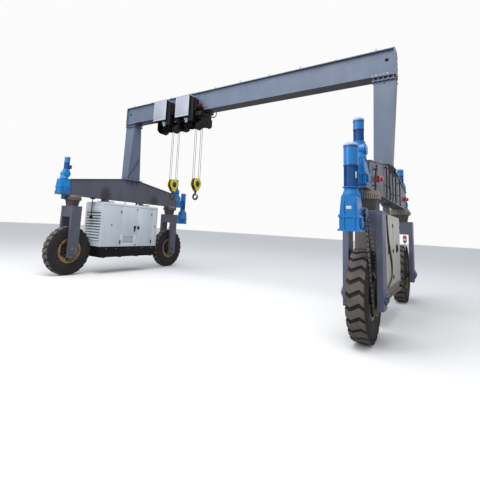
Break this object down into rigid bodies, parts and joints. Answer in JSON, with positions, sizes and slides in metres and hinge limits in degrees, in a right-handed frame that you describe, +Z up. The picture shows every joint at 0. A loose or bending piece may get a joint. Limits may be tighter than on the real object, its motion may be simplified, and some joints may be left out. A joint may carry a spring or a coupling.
{
  "type": "rubber tyred gantry crane",
  "caption": "Gantry crane on four steerable rubber tyred wheels: box girder on tapered legs and end beams, twin rope hoists, generating set and electrical cabinet.",
  "frame": {"origin": "on the ground under the middle of the girder, midway between the axles", "axes": "+X along the girder towards the cabinet side, +Y along the end beams towards the back, +Z up"},
  "size_m": [8.569, 6.09, 5.602],
  "materials": {
    "crane_paint": "satin",
    "ring_steel": "rough",
    "drive_blue": "satin",
    "housing_white": "satin",
    "base_black": "satin",
    "cabinet_grey": "satin",
    "channel_brown": "matte",
    "stop_red": "gloss",
    "tyre_rubber": "matte",
    "rim_ochre": "matte",
    "block_yellow": "satin",
    "hook_steel": "satin",
    "rope_steel": "satin",
    "cable_rubber": "matte"
  },
  "bodies": {
    "root": {"main_girder": "crane_paint", "leg_left": "crane_paint", "leg_right": "crane_paint", "end_beam_left": "crane_paint", "end_beam_right": "crane_paint", "hangers": "crane_paint", "slewing_rings": "ring_steel", "steer_drive_ln": "drive_blue", "steer_drive_lf": "drive_blue", "steer_drive_rn": "drive_blue", "steer_drive_rf": "drive_blue", "generator_housing": "housing_white", "generator_louvre": "housing_white", "generator_base": "base_black", "sensor_rod": "base_black", "cabinet": "cabinet_grey", "cabinet_base": "channel_brown", "stop_buttons": "stop_red", "cables": "cable_rubber"},
    "fork_ln": {"fork_ln": "crane_paint"},
    "wheel_ln": {"tyre_ln": "tyre_rubber", "rim_ln": "rim_ochre"},
    "fork_lf": {"fork_lf": "crane_paint", "travel_drive_lf": "drive_blue", "chain_guard_lf": "base_black", "chain_lf": "hook_steel"},
    "wheel_lf": {"tyre_lf": "tyre_rubber", "rim_lf": "rim_ochre"},
    "fork_rn": {"fork_rn": "crane_paint", "travel_drive_rn": "drive_blue", "chain_guard_rn": "base_black", "chain_rn": "hook_steel"},
    "wheel_rn": {"tyre_rn": "tyre_rubber", "rim_rn": "rim_ochre"},
    "fork_rf": {"fork_rf": "crane_paint"},
    "wheel_rf": {"tyre_rf": "tyre_rubber", "rim_rf": "rim_ochre"},
    "hoist_1": {"hoist_frame_1": "base_black", "hoist_box_1": "housing_white", "hoist_drive_1": "base_black"},
    "hook_1": {"hook_block_1": "block_yellow", "hook_1": "hook_steel", "ropes_1": "rope_steel"},
    "hoist_2": {"hoist_frame_2": "base_black", "hoist_box_2": "housing_white", "hoist_drive_2": "base_black"},
    "hook_2": {"hook_block_2": "block_yellow", "hook_2": "hook_steel", "ropes_2": "rope_steel"}
  },
  "joints": [
    {"name": "steer_ln", "type": "hinge", "parent": "root", "child": "fork_ln", "pos_m": [-3.94, -2.1, 2.1], "axis": [0, 0, 1], "range_deg": [-90, 10]},
    {"name": "steer_lf", "type": "hinge", "parent": "root", "child": "fork_lf", "pos_m": [-3.94, 2.1, 2.1], "axis": [0, 0, 1], "range_deg": [-10, 90]},
    {"name": "steer_rn", "type": "hinge", "parent": "root", "child": "fork_rn", "pos_m": [3.94, -2.1, 2.1], "axis": [0, 0, 1], "range_deg": [-10, 90]},
    {"name": "steer_rf", "type": "hinge", "parent": "root", "child": "fork_rf", "pos_m": [3.94, 2.1, 2.1], "axis": [0, 0, 1], "range_deg": [-90, 10]},
    {"name": "spin_ln", "type": "hinge", "parent": "fork_ln", "child": "wheel_ln", "pos_m": [-3.94, -2.1, 0.685], "axis": [1, 0, 0], "continuous": true},
    {"name": "spin_lf", "type": "hinge", "parent": "fork_lf", "child": "wheel_lf", "pos_m": [-3.94, 2.1, 0.685], "axis": [1, 0, 0], "continuous": true},
    {"name": "spin_rn", "type": "hinge", "parent": "fork_rn", "child": "wheel_rn", "pos_m": [3.94, -2.1, 0.685], "axis": [1, 0, 0], "continuous": true},
    {"name": "spin_rf", "type": "hinge", "parent": "fork_rf", "child": "wheel_rf", "pos_m": [3.94, 2.1, 0.685], "axis": [1, 0, 0], "continuous": true},
    {"name": "travel_1", "type": "slide", "parent": "root", "child": "hoist_1", "axis": [1, 0, 0], "range_m": [-1.1, 0]},
    {"name": "travel_2", "type": "slide", "parent": "root", "child": "hoist_2", "axis": [1, 0, 0], "range_m": [0, 4.3]},
    {"name": "lift_1", "type": "slide", "parent": "hoist_1", "child": "hook_1", "axis": [0, 0, 1], "range_m": [-2.15, 1.2], "deforming": ["ropes_1"]},
    {"name": "lift_2", "type": "slide", "parent": "hoist_2", "child": "hook_2", "axis": [0, 0, 1], "range_m": [-2.15, 1.2], "deforming": ["ropes_2"]}
  ]
}
